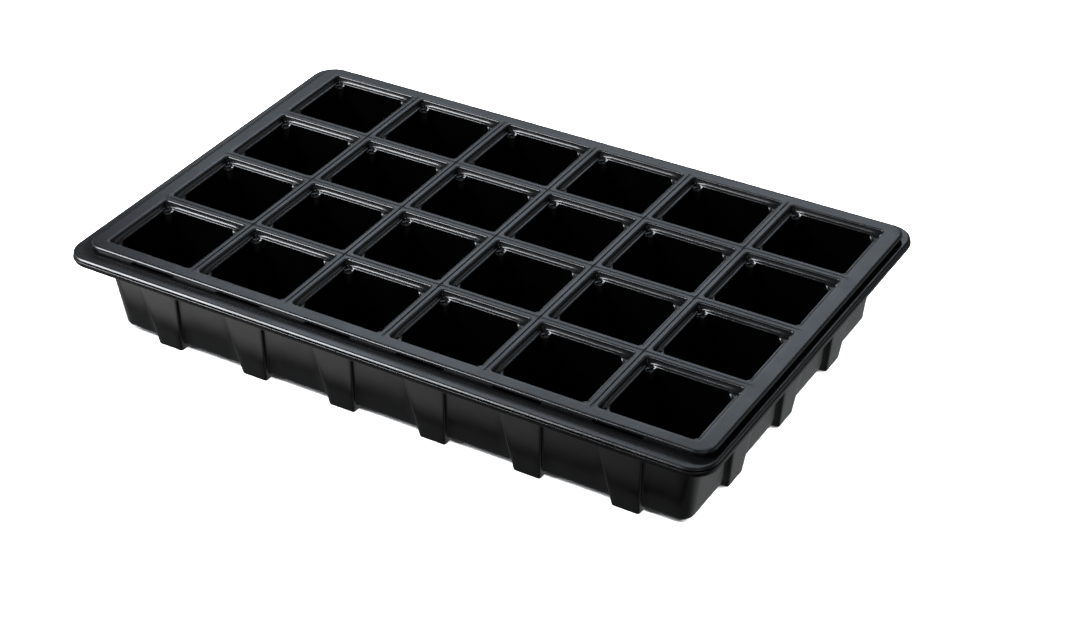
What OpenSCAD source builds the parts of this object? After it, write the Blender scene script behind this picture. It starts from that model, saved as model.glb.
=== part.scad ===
// Seed tray: a ribbed carrier tray with a rolled rim, and a multi-cell insert that stands on its flange.
// Millimetres. +X runs along the long side, +Y to the back, +Z up.
// The origin is on the ground under the middle of the tray.

/* [Cell grid] */
// Cells along the long side
cols = 6; // [2:1:10]
// Cells along the short side
rows = 4; // [2:1:8]
// Distance between cell centres along the long side
pitch_x = 58.75; // [45:0.25:75]
// Distance between cell centres along the short side
pitch_y = 53.1; // [42:0.1:70]
// Width of the bars between the openings
bar_w = 6.2; // [4:0.2:9]

/* [Deck] */
// Thickness of the deck sheet
deck_t = 1.2; // [0.8:0.1:2]
// Deck border past the openings at the short sides
margin_x = 10.3; // [8.4:0.1:12]
// Deck border past the openings at the long sides
margin_y = 8.4; // [7.9:0.1:11]
// Corner radius of the deck
deck_r = 9.5; // [4:0.5:14]
// Height of the deck's top above the flange
deck_rise = 3.6; // [3.5:0.1:8]
// Thickness of the standing leg under the border
leg_t = 1.2; // [0.8:0.1:1.6]
// Distance from the deck's edge in to the leg
leg_inset = 1.6; // [1.2:0.1:3]
// Width of the groove along each column bar
groove_w = 0.8; // [0.4:0.1:2]
// Depth of the groove
groove_d = 0.5; // [0.2:0.1:0.7]

/* [Cells] */
// Depth of the square collar under each opening, from the deck's top
collar_h = 2.7; // [1.6:0.1:2.8]
// Width of the ledge inside the collar
ledge_w = 2.8; // [1.8:0.1:4]
// Wall of a cell
cell_t = 0.8; // [0.6:0.1:0.8]
// Draft of a cell's sides, in degrees
cell_draft = 6.9; // [3:0.1:7.5]
// Chamfer on the vertical corners of a cell, at its top
chamfer_top = 5; // [3:0.5:10]
// Chamfer on the vertical corners of a cell, at its foot
chamfer_foot = 3.5; // [2:0.5:6]
// Drain hole radius in the foot of a cell
drain_r = 4; // [2:0.25:6]
// Gap between the cells' feet and the tray's floor
floor_gap = 6; // [1:0.5:15]

/* [Tray] */
// Height of the flange above the ground
tray_h = 52.5; // [40:0.5:75]
// Draft of the tray's sides, in degrees
draft = 8.2; // [4:0.1:9]
// Wall of the tray
tray_t = 1.2; // [0.8:0.1:1.6]
// Thickness of the tray's floor
floor_t = 1.4; // [0.8:0.1:2]
// Height of the floor's underside above the ground
floor_lift = 3.4; // [2.6:0.1:6]
// Radius of the tray's vertical corners at flange height
corner_r = 13.5; // [11:0.5:16]
// Clearance between the outer collars and the tray's wall line
nest_gap = 2.4; // [1.2:0.1:3]

/* [Rim] */
// Flange width, from the tray's wall to the outermost edge
flange_w = 11.95; // [10.45:0.05:24]
// Flange thickness
flange_t = 1.4; // [1:0.1:2]
// Radius of the rim's corners
rim_r = 14; // [8:0.5:20]
// Height of the turned-down edge, from the flange's top
lip_h = 5.1; // [4.4:0.1:8]
// Thickness of the turned-down edge
lip_t = 2; // [1.6:0.1:3]
// Height of the shadow groove under the flange's edge
shadow_h = 0.8; // [0.4:0.1:1]
// Depth of the shadow groove
shadow_d = 1; // [0.4:0.1:1.2]
// Height of the narrower band along the foot of the edge
foot_band_h = 1.3; // [0.6:0.1:1.8]
// Setback of that narrower band
foot_band_d = 0.6; // [0.2:0.1:1]
// Setback of the flange's own edge behind the turned-down edge
bead_d = 0.5; // [0.2:0.1:0.8]

/* [Ribs] */
// Distance between rib centres
rib_pitch = 55; // [40:0.5:70]
// Width of a rib at the flange
rib_w_top = 27.5; // [20:0.5:34]
// Width of a rib at the ground
rib_w_foot = 15.3; // [10:0.1:20]
// How far a rib stands out from the wall
rib_out = 2.4; // [1.5:0.1:2.8]
// How far a rib's foot runs in under the floor
rib_foot_in = 8; // [4:0.5:14]
// Smallest plain wall between the last rib and a corner
rib_end = 3; // [2:0.5:8]

/* [Nesting] */
// Share of the clearance by which the loose insert lies off centre along the long side
rest_x = 0.9; // [-0.9:0.05:0.9]
// Share of the clearance by which the loose insert lies off centre along the short side
rest_y = 0.6; // [-0.9:0.05:0.9]

/* [Hidden] */
$fn = 64;
// Lets a cutting solid run past the face that it cuts
over = 1;
slope = tan(draft);

open_x = pitch_x - bar_w;
open_y = pitch_y - bar_w;
grid_x = (cols * pitch_x - bar_w) / 2;
grid_y = (rows * pitch_y - bar_w) / 2;
deck_x = grid_x + margin_x;
deck_y = grid_y + margin_y;
leg_x = deck_x - leg_inset;
leg_y = deck_y - leg_inset;

deck_top = tray_h + deck_rise;
deck_low = deck_top - deck_t;
ledge_top = deck_top - collar_h;
ledge_low = ledge_top - cell_t;
floor_top = floor_lift + floor_t;
flange_low = tray_h - flange_t;
cell_low = floor_top + floor_gap;

// Inner and outer faces of the tray's plain wall at flange height
in_x = grid_x + cell_t + nest_gap;
in_y = grid_y + cell_t + nest_gap;
wall_x = in_x + tray_t;
wall_y = in_y + tray_t;
rim_x = wall_x + flange_w;
rim_y = wall_y + flange_w;
axis_x = wall_x - corner_r;
axis_y = wall_y - corner_r;

ribs_long = floor((2 * axis_x - rib_w_top - 2 * rib_end) / rib_pitch) + 1;
ribs_short = floor((2 * axis_y - rib_w_top - 2 * rib_end) / rib_pitch) + 1;

tray_colour = [0.16, 0.16, 0.17];
deck_colour = [0.27, 0.29, 0.31];
cell_colour = [0.2, 0.21, 0.22];

// Middle of copy i out of count copies, spread evenly about zero
function spread(i, count, pitch) = (i - (count - 1) / 2) * pitch;

// Centre of a cell, counted from the front left
function cell_x(i) = spread(i - 1, cols, pitch_x);
function cell_y(j) = spread(j - 1, rows, pitch_y);

// How far a drafted face has come in at height z, measured from flange height
function come_in(z) = (tray_h - z) * slope;

// Half the width of a rib at height z
function rib_half(z) = (rib_w_foot + (rib_w_top - rib_w_foot) * z / tray_h) / 2;

// A rectangle with round corners, centred
module round_plate(half_x, half_y, r) {
    square([2 * half_x, 2 * (half_y - r)], center = true);
    square([2 * (half_x - r), 2 * half_y], center = true);
    for (x = [-1, 1]) for (y = [-1, 1])
        translate([x * (half_x - r), y * (half_y - r)]) circle(r);
}

// A bar along X whose end view is the given outline, drawn with Y across and Z up
module long_section(half_len) {
    rotate([90, 0, 90]) linear_extrude(2 * half_len, center = true) children();
}

// A bar along Y whose end view is the given outline, drawn with X across and Z up
module cross_section(half_len) {
    rotate([90, 0, 0]) linear_extrude(2 * half_len, center = true) children();
}

// The wall as it stands on the +Y side of a tray, seen from its end, between two heights
module wall_outline(face, out, thick, z0, z1) {
    polygon([
        [face - come_in(z0) + out - thick, z0],
        [face - come_in(z0) + out, z0],
        [face - come_in(z1) + out, z1],
        [face - come_in(z1) + out - thick, z1]
    ]);
}

// A rib's front view between two heights, narrower all round by a wall
module rib_outline(wall, z0, z1) {
    polygon([
        [wall - rib_half(z0), z0],
        [rib_half(z0) - wall, z0],
        [rib_half(z1) - wall, z1],
        [wall - rib_half(z1), z1]
    ]);
}

// The outside of one rib on a +Y wall, between two heights
module rib_body(face, z0, z1) {
    intersection() {
        cross_section(2 * face) rib_outline(0, z0, z1);
        long_section(rib_w_top) wall_outline(face, rib_out, rib_out + tray_t, z0, z1);
    }
}

// The hollow behind one rib on a +Y wall, between two heights
module rib_hollow(face, z0, z1) {
    intersection() {
        cross_section(2 * face) rib_outline(tray_t, z0, z1);
        long_section(rib_w_top)
            wall_outline(face, rib_out - tray_t, rib_out + tray_t, z0, z1);
    }
}

// One plain wall with its hollow ribs, standing on the +Y side
module ribbed_wall(face, half_len, count) {
    difference() {
        union() {
            long_section(half_len) wall_outline(face, 0, tray_t, floor_top, flange_low);
            for (i = [0:count - 1])
                translate([spread(i, count, rib_pitch), 0, 0])
                    rib_body(face, floor_top, flange_low);
        }
        for (i = [0:count - 1])
            translate([spread(i, count, rib_pitch), 0, 0])
                rib_hollow(face, floor_top, flange_low);
    }
}

// One quarter of a conical corner, standing at the +X +Y side
module corner() {
    r_low = corner_r - come_in(floor_top);
    r_high = corner_r - come_in(flange_low);
    height = flange_low - floor_top;
    translate([axis_x, axis_y, floor_top]) intersection() {
        difference() {
            cylinder(h = height, r1 = r_low, r2 = r_high);
            cylinder(h = height, r1 = r_low - tray_t, r2 = r_high - tray_t);
        }
        cube([corner_r, corner_r, height]);
    }
}

// The outside of one rib's foot on the +Y side, from the ground up to the floor's top
module foot_body(face) {
    intersection() {
        cross_section(2 * face) rib_outline(0, 0, floor_top);
        long_section(rib_w_top)
            wall_outline(face, rib_out, rib_out + tray_t + rib_foot_in, 0, floor_top);
    }
}

// The hollow in that foot, open to the floor's top
module foot_hollow(face) {
    intersection() {
        cross_section(2 * face) rib_outline(tray_t, tray_t, floor_top);
        long_section(rib_w_top)
            wall_outline(face, rib_out - tray_t, rib_out - tray_t + rib_foot_in, tray_t, floor_top);
    }
}

// Repeats its first child, a +Y shape, at each long-side rib and its second at each short-side rib
module at_every_rib() {
    for (i = [0:ribs_long - 1]) for (side = [0, 1])
        mirror([0, side, 0])
            translate([spread(i, ribs_long, rib_pitch), 0, 0]) children(0);
    for (i = [0:ribs_short - 1]) for (side = [0, 1])
        mirror([side, 0, 0]) rotate([0, 0, -90])
            translate([spread(i, ribs_short, rib_pitch), 0, 0]) children(1);
}

module tray_floor() {
    half_x = wall_x - come_in(floor_top);
    half_y = wall_y - come_in(floor_top);
    color(tray_colour) difference() {
        translate([0, 0, floor_lift]) linear_extrude(floor_t)
            round_plate(half_x, half_y, corner_r - come_in(floor_top));
        at_every_rib() {
            foot_body(wall_y);
            foot_body(wall_x);
        }
    }
}

module tray_feet() {
    color(tray_colour) at_every_rib() {
        difference() {
            foot_body(wall_y);
            foot_hollow(wall_y);
        }
        difference() {
            foot_body(wall_x);
            foot_hollow(wall_x);
        }
    }
}

// One band of the rim, between two heights and two setbacks from its outermost edge
module rim_band(z0, z1, back, thick) {
    translate([0, 0, z0]) linear_extrude(z1 - z0) difference() {
        round_plate(rim_x - back, rim_y - back, rim_r - back);
        round_plate(rim_x - back - thick, rim_y - back - thick, rim_r - back - thick);
    }
}

module tray_rim() {
    edge_low = tray_h - lip_h;
    notch = 2 * (rib_half(flange_low) - tray_t);
    color(tray_colour) {
        translate([0, 0, flange_low]) linear_extrude(flange_t) difference() {
            round_plate(rim_x - bead_d, rim_y - bead_d, rim_r - bead_d);
            round_plate(in_x, in_y, corner_r - tray_t);
            for (i = [0:ribs_long - 1]) translate([spread(i, ribs_long, rib_pitch), 0])
                square([notch, 2 * (in_y + rib_out)], center = true);
            for (i = [0:ribs_short - 1]) translate([0, spread(i, ribs_short, rib_pitch)])
                square([2 * (in_x + rib_out), notch], center = true);
        }
        rim_band(flange_low - shadow_h, flange_low, bead_d + shadow_d, lip_t - shadow_d);
        rim_band(edge_low + foot_band_h, flange_low - shadow_h, 0, lip_t);
        rim_band(edge_low, edge_low + foot_band_h, foot_band_d, lip_t - foot_band_d);
    }
}

module tray_wall_long(side) {
    color(tray_colour) mirror([0, side, 0]) ribbed_wall(wall_y, axis_x, ribs_long);
}

module tray_wall_short(side) {
    color(tray_colour) mirror([side, 0, 0]) rotate([0, 0, -90])
        ribbed_wall(wall_x, axis_y, ribs_short);
}

module tray_corner(flip_x, flip_y) {
    color(tray_colour) mirror([flip_x, 0, 0]) mirror([0, flip_y, 0]) corner();
}

// Puts the insert where it lies in the tray
module lie() {
    translate([rest_x * nest_gap, rest_y * nest_gap, 0]) children();
}

// Border strip along a long side, standing at +Y, with the leg that it stands on
module deck_strip_long() {
    translate([0, 0, deck_low]) linear_extrude(deck_t) intersection() {
        round_plate(deck_x, deck_y, deck_r);
        translate([-deck_x, grid_y]) square([2 * deck_x, margin_y]);
    }
    translate([-leg_x, leg_y - leg_t, tray_h]) cube([2 * leg_x, leg_t, deck_low - tray_h]);
}

// Border strip along a short side, standing at +X, with its leg
module deck_strip_short() {
    translate([grid_x, -grid_y, deck_low]) cube([margin_x, 2 * grid_y, deck_t]);
    translate([leg_x - leg_t, -grid_y, tray_h]) cube([leg_t, 2 * grid_y, deck_low - tray_h]);
}

module deck_long(side) {
    color(deck_colour) lie() mirror([0, side, 0]) deck_strip_long();
}

module deck_short(side) {
    color(deck_colour) lie() mirror([side, 0, 0]) deck_strip_short();
}

module column_bar(i) {
    color(deck_colour) lie() translate([spread(i - 1, cols - 1, pitch_x), 0, 0]) difference() {
        translate([-bar_w / 2, -grid_y, deck_low]) cube([bar_w, 2 * grid_y, deck_t]);
        translate([-groove_w / 2, -grid_y + over, deck_top - groove_d])
            cube([groove_w, 2 * (grid_y - over), groove_d + over]);
    }
}

module row_bar(j) {
    color(deck_colour) lie() for (i = [1:cols])
        translate([cell_x(i) - open_x / 2, spread(j - 1, rows - 1, pitch_y) - bar_w / 2, deck_low])
            cube([open_x, bar_w, deck_t]);
}

// A symmetric four-sided outline, given half its width at two heights
module cut_outline(low, high, z0, z1) {
    polygon([[-low, z0], [low, z0], [high, z1], [-high, z1]]);
}

// A drafted block with chamfered upright corners; half_x and half_y are its size at the ledge
module cell_block(half_x, half_y, chamfer_high, chamfer_low, z0, z1) {
    shrink = (ledge_low - z0) * tan(cell_draft);
    grow = (z1 - ledge_low) * tan(cell_draft);
    reach = half_x + half_y;
    diag_high = (reach + 2 * grow - chamfer_high) / sqrt(2);
    diag_low = (reach - 2 * shrink - chamfer_low) / sqrt(2);
    intersection() {
        cross_section(reach) cut_outline(half_x - shrink, half_x + grow, z0, z1);
        long_section(reach) cut_outline(half_y - shrink, half_y + grow, z0, z1);
        rotate([0, 0, 45]) cross_section(reach) cut_outline(diag_low, diag_high, z0, z1);
        rotate([0, 0, -45]) cross_section(reach) cut_outline(diag_low, diag_high, z0, z1);
    }
}

// One cell: square collar, ledge, tapering cup with cut corners, and a drained foot
module cell(i, j) {
    half_x = open_x / 2 - ledge_w;
    half_y = open_y / 2 - ledge_w;
    color(cell_colour) lie() translate([cell_x(i), cell_y(j), 0]) {
        difference() {
            union() {
                translate([-open_x / 2 - cell_t, -open_y / 2 - cell_t, ledge_low])
                    cube([open_x + 2 * cell_t, open_y + 2 * cell_t, deck_low - ledge_low]);
                cell_block(half_x + cell_t, half_y + cell_t, chamfer_top, chamfer_foot,
                    cell_low, ledge_low);
            }
            translate([-open_x / 2, -open_y / 2, ledge_top])
                cube([open_x, open_y, collar_h]);
            cell_block(half_x, half_y, chamfer_top, chamfer_foot,
                cell_low + cell_t, ledge_top + over);
            translate([0, 0, cell_low - over]) cylinder(h = cell_t + 2 * over, r = drain_r);
        }
    }
}

tray_floor();
tray_feet();
tray_rim();
tray_wall_long(1);  // tray_wall_front
tray_wall_long(0);  // tray_wall_back
tray_wall_short(1);  // tray_wall_left
tray_wall_short(0);  // tray_wall_right
tray_corner(1, 1);  // tray_corner_fl
tray_corner(0, 1);  // tray_corner_fr
tray_corner(1, 0);  // tray_corner_bl
tray_corner(0, 0);  // tray_corner_br
deck_long(1);  // deck_front
deck_long(0);  // deck_back
deck_short(1);  // deck_left
deck_short(0);  // deck_right
for (i = [1:cols - 1])
    column_bar(i);
for (j = [1:rows - 1])
    row_bar(j);
for (j = [1:rows]) for (i = [1:cols])
    cell(i, j);
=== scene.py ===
"""Looks of a two-piece seed tray: a ribbed black carrier tray and the cell insert that lies in it.

Lengths of the tray and the insert are in millimetres and become metres when a mesh is made; the
studio is in metres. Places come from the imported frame. Surfaces are closed skins: rings of points
round an axis, joined row to row.
"""

import logging
import math
from dataclasses import dataclass, field
from enum import Enum

import bmesh
import bpy
import numpy as np
from mathutils import Matrix, Vector

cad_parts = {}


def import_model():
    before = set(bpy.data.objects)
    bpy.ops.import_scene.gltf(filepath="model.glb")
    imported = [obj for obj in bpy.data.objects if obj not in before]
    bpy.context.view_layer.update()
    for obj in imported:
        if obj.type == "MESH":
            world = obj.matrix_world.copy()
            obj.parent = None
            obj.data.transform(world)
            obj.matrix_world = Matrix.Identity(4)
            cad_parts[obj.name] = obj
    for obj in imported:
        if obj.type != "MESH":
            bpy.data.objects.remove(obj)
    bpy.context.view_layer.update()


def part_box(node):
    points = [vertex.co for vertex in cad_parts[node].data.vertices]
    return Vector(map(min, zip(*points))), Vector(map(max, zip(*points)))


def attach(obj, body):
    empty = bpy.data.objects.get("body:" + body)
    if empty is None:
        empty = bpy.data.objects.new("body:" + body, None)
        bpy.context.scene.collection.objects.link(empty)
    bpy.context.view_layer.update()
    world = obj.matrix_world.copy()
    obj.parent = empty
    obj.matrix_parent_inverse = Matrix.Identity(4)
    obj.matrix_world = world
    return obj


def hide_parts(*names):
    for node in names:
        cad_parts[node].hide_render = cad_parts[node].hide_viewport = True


MM = 0.001
LOG = logging.getLogger("seed_tray")


class Corner(Enum):
    """How a ring turns a corner."""

    SQUARE = "square"
    ROUND = "round"
    CUT = "cut"


@dataclass(frozen=True)
class Turn:
    """One corner of a ring: its style and how far from the corner it begins, in millimetres."""

    style: Corner
    reach: float


# ---------------------------------------------------------------- points and skins


def half_side(length: float, turn: Turn, straight: int, curved: int) -> tuple[np.ndarray, np.ndarray]:
    """Steps from the middle of a side to the middle of its corner.

    The straight part is split evenly. The corner part runs along a 45 degree arc, or along half of
    the cut, or simply on along the side.

    Args:
        length: Distance from the side's middle to the sharp corner.
        turn: The corner's style and reach.
        straight: Steps on the straight part.
        curved: Steps on the corner part.

    Returns:
        The distance along the side and the distance inwards from it, one value each per point.
    """
    u = np.arange(curved + 1) / curved
    if turn.style is Corner.ROUND:
        angle = u * math.pi / 4
        along, inward = turn.reach * np.sin(angle), turn.reach * (1 - np.cos(angle))
    elif turn.style is Corner.CUT:
        along, inward = u * turn.reach / 2, u * turn.reach / 2
    else:
        along, inward = u * turn.reach, np.zeros_like(u)
    run = np.arange(straight) / straight * (length - turn.reach)
    return (
        np.concatenate([run, length - turn.reach + along]),
        np.concatenate([np.zeros(straight), inward]),
    )


def ring(
    reach: tuple[float, float, float, float],
    turns: tuple[Turn, Turn, Turn, Turn],
    straight: int = 4,
    curved: int = 5,
) -> np.ndarray:
    """Points round a rectangle, anticlockwise from the middle of its +X side.

    Each quarter runs up half of one side, through the corner, and along half of the next side; the
    quarters are one formula turned by 90 degrees.

    Args:
        reach: How far the rectangle runs to +X, +Y, -X and -Y of its middle.
        turns: The corners, from the +X +Y one, anticlockwise.
        straight: Steps on each straight half side.
        curved: Steps on each half corner.

    Returns:
        An array of X and Y, one row per point, with no point twice.
    """
    quarters = []
    for k in range(4):
        ahead, side = reach[k], reach[(k + 1) % 4]
        up, up_in = half_side(side, turns[k], straight, curved)
        back, back_in = half_side(ahead, turns[k], straight, curved)
        a = np.concatenate([ahead - up_in, back[-2:0:-1]])
        b = np.concatenate([up, (side - back_in)[-2:0:-1]])
        quarters.append(((a, b), (-b, a), (-a, -b), (b, -a))[k])
    return np.concatenate([np.stack(q, axis=1) for q in quarters])


def even_ring(half_x: float, half_y: float, turn: Turn, straight: int = 4, curved: int = 5) -> np.ndarray:
    """A ring with the same corner four times, centred on its middle."""
    return ring((half_x, half_y, half_x, half_y), (turn,) * 4, straight, curved)


def lift(flat: np.ndarray, height: float | np.ndarray) -> np.ndarray:
    """Adds a height to flat points."""
    z = np.broadcast_to(np.asarray(height, float), flat.shape[:1])
    return np.concatenate([flat, z[:, None]], axis=1)


def arc(
    centre: tuple[float, float], radius: float, start: float, end: float, steps: int = 5
) -> list[tuple[float, float]]:
    """Points of a circle's arc in a profile, from one angle in degrees to another."""
    t = np.radians(np.linspace(start, end, steps + 1))
    return list(zip(centre[0] + radius * np.cos(t), centre[1] + radius * np.sin(t)))


def join_rows(rows: np.ndarray, close_rows: bool) -> np.ndarray:
    """Quads between neighbouring rows of points.

    Point i of a row joins point i + 1, the last joins the first, and each row joins the next.

    Args:
        rows: Points, shaped rows by columns by 3.
        close_rows: Whether the last row also joins the first.

    Returns:
        Four point numbers per quad.
    """
    count, columns = rows.shape[:2]
    r = np.arange(count if close_rows else count - 1)[:, None]
    c = np.arange(columns)[None, :]
    below, above = r * columns, ((r + 1) % count) * columns
    right = (c + 1) % columns
    return np.stack([below + c, below + right, above + right, above + c], axis=-1).reshape(-1, 4)


@dataclass
class Skin:
    """Gathers closed skins into one mesh."""

    points: list[np.ndarray] = field(default_factory=list)
    quads: list[np.ndarray] = field(default_factory=list)
    finishes: list[np.ndarray] = field(default_factory=list)
    total: int = 0

    def add(self, rows: np.ndarray, close_rows: bool = True, second: range = range(0)) -> None:
        """Adds one skin of rows of points, in millimetres.

        Args:
            rows: Points, shaped rows by columns by 3.
            close_rows: Whether the last row also joins the first.
            second: The rows whose faces, up to the next row, wear the piece's second finish.
        """
        quads = join_rows(rows, close_rows) + self.total
        row = np.arange(len(quads)) // rows.shape[1]
        self.finishes.append(np.isin(row, second).astype(np.int32))
        self.quads.append(quads)
        self.points.append(rows.reshape(-1, 3))
        self.total += rows.shape[0] * rows.shape[1]

    def build(self, name: str, sharp_degrees: float = 40.0) -> bpy.types.Object:
        """Makes the mesh: welds doubles, points faces outwards and smooths all but sharp edges.

        Args:
            name: The piece's name.
            sharp_degrees: Edges that turn by more than this stay sharp.

        Returns:
            The new object, at the origin.
        """
        mesh = bpy.data.meshes.new(name)
        mesh.from_pydata(np.concatenate(self.points) * MM, [], np.concatenate(self.quads).tolist())
        mesh.polygons.foreach_set("material_index", np.concatenate(self.finishes))
        work = bmesh.new()
        work.from_mesh(mesh)
        bmesh.ops.remove_doubles(work, verts=work.verts, dist=0.004 * MM)
        bmesh.ops.dissolve_degenerate(work, edges=work.edges, dist=0.004 * MM)
        bmesh.ops.recalc_face_normals(work, faces=work.faces)
        work.to_mesh(mesh)
        work.free()
        mesh.polygons.foreach_set("use_smooth", np.ones(len(mesh.polygons), bool))
        mesh.set_sharp_from_angle(angle=math.radians(sharp_degrees))
        piece = bpy.data.objects.new(name, mesh)
        bpy.context.scene.collection.objects.link(piece)
        return piece


# ---------------------------------------------------------------- the frame


@dataclass(frozen=True)
class Bounds:
    """A box in millimetres, read from one or more CAD nodes."""

    low: np.ndarray
    high: np.ndarray

    @classmethod
    def of(cls, *nodes: str) -> "Bounds":
        """The box round the named nodes at rest."""
        boxes = [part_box(n) for n in nodes]
        return cls(
            np.min([np.array(b[0]) for b in boxes], axis=0) / MM,
            np.max([np.array(b[1]) for b in boxes], axis=0) / MM,
        )

    @property
    def middle(self) -> np.ndarray:
        """The box's middle."""
        return (self.low + self.high) / 2

    @property
    def half(self) -> np.ndarray:
        """Half the box's size."""
        return (self.high - self.low) / 2


# ---------------------------------------------------------------- materials


def linear(code: str) -> tuple[float, float, float, float]:
    """Turns an sRGB hex colour into linear light."""
    parts = [int(code[i : i + 2], 16) / 255 for i in (1, 3, 5)]
    return (*(p / 12.92 if p <= 0.04045 else ((p + 0.055) / 1.055) ** 2.4 for p in parts), 1.0)


def add_node(
    tree: bpy.types.NodeTree,
    kind: str,
    settings: dict[str, object] | None = None,
    links: dict[str | int, bpy.types.NodeSocket] | None = None,
) -> bpy.types.Node:
    """Adds a node with its settings and links.

    Args:
        tree: The material's node tree.
        kind: Blender's name for the node.
        settings: Socket values by input name, or properties where the node has no such input.
        links: What feeds each input, by name or number.

    Returns:
        The new node.
    """
    node = tree.nodes.new(kind)
    for key, value in (settings or {}).items():
        if key in node.inputs:
            node.inputs[key].default_value = value
        else:
            setattr(node, key, value)
    for key, source in (links or {}).items():
        tree.links.new(source, node.inputs[key])
    return node


def empty_tree(owner: bpy.types.Material | bpy.types.World) -> bpy.types.NodeTree:
    """Turns nodes on for a material or a world and clears them.

    Args:
        owner: The material or the world.

    Returns:
        Its node tree, with nothing in it.
    """
    owner.use_nodes = True
    owner.node_tree.nodes.clear()
    return owner.node_tree


@dataclass(frozen=True)
class FormedStyrene:
    """Black polystyrene sheet, vacuum formed: satin, with faint mottling from the mould's grain.

    The drawn sheet keeps a fine orange peel, so its reflections are soft and slightly uneven.
    """

    name: str
    shade: str = "#0c0c0d"
    tint: str = "#111112"
    roughness: float = 0.25
    rough_spread: float = 0.05
    mottle_mm: float = 22.0
    peel_mm: float = 3.0
    peel_depth: float = 0.012
    grain_mm: float = 0.7
    grain_depth: float = 0.003
    sheen_ior: float = 1.56
    specular: float = 0.5

    def make(self) -> bpy.types.Material:
        """Builds the material.

        Returns:
            A material that reads Object coordinates only.
        """
        material = bpy.data.materials.new(self.name)
        tree = empty_tree(material)
        place = add_node(tree, "ShaderNodeTexCoord").outputs["Object"]
        at_mottle = {"Scale": 1 / (self.mottle_mm * MM), "Detail": 4.0, "Roughness": 0.6}
        mottle = add_node(tree, "ShaderNodeTexNoise", at_mottle, {"Vector": place})
        at_peel = {"Scale": 1 / (self.peel_mm * MM), "Detail": 2.0}
        peel = add_node(tree, "ShaderNodeTexNoise", at_peel, {"Vector": place})
        at_grain = {"Scale": 1 / (self.grain_mm * MM), "Detail": 3.0}
        grain = add_node(tree, "ShaderNodeTexNoise", at_grain, {"Vector": place})
        spread = mottle.outputs["Fac"]
        colour = add_node(tree, "ShaderNodeMix", {"data_type": "RGBA"}, {"Factor": spread})
        # the colour pair has the same names as the plain A and B, so it is set by number
        colour.inputs[6].default_value = linear(self.shade)
        colour.inputs[7].default_value = linear(self.tint)
        low, high = self.roughness - self.rough_spread, self.roughness + self.rough_spread
        ramp = {"From Min": 0.3, "From Max": 0.7, "To Min": low, "To Max": high}
        rough = add_node(tree, "ShaderNodeMapRange", ramp, {"Value": spread}).outputs["Result"]
        bump = {"Strength": 1.0, "Distance": self.peel_depth * MM}
        soft = add_node(tree, "ShaderNodeBump", bump, {"Height": peel.outputs["Fac"]})
        bump = {"Strength": 1.0, "Distance": self.grain_depth * MM}
        over = {"Height": grain.outputs["Fac"], "Normal": soft.outputs["Normal"]}
        fine = add_node(tree, "ShaderNodeBump", bump, over)
        shader = add_node(
            tree,
            "ShaderNodeBsdfPrincipled",
            {"IOR": self.sheen_ior, "Specular IOR Level": self.specular},
            {"Base Color": colour.outputs[2], "Roughness": rough, "Normal": fine.outputs["Normal"]},
        )
        add_node(tree, "ShaderNodeOutputMaterial", None, {"Surface": shader.outputs["BSDF"]})
        return material


@dataclass(frozen=True)
class StudioPaper:
    """Seamless matt white paper under the object."""

    name: str = "studio_paper"
    shade: str = "#f4f4f4"

    def make(self) -> bpy.types.Material:
        """Builds the material.

        Returns:
            A plain matt white.
        """
        material = bpy.data.materials.new(self.name)
        tree = empty_tree(material)
        shader = add_node(
            tree, "ShaderNodeBsdfPrincipled", {"Base Color": linear(self.shade), "Roughness": 0.9}
        )
        add_node(tree, "ShaderNodeOutputMaterial", None, {"Surface": shader.outputs["BSDF"]})
        return material


def dress(
    piece: bpy.types.Object, material: bpy.types.Material, body: str, nodes: list[str]
) -> None:
    """Gives a piece its finish, its body and the CAD nodes that it stands for.

    Args:
        piece: The new piece.
        material: Its finish.
        body: The body that it moves with.
        nodes: The CAD nodes that it replaces.
    """
    piece.data.materials.append(material)
    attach(piece, body)
    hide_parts(*nodes)
    faces = len(piece.data.polygons)
    LOG.info("%s: %d faces on body %s, for %d CAD nodes", piece.name, faces, body, len(nodes))


# ---------------------------------------------------------------- the carrier tray


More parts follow.
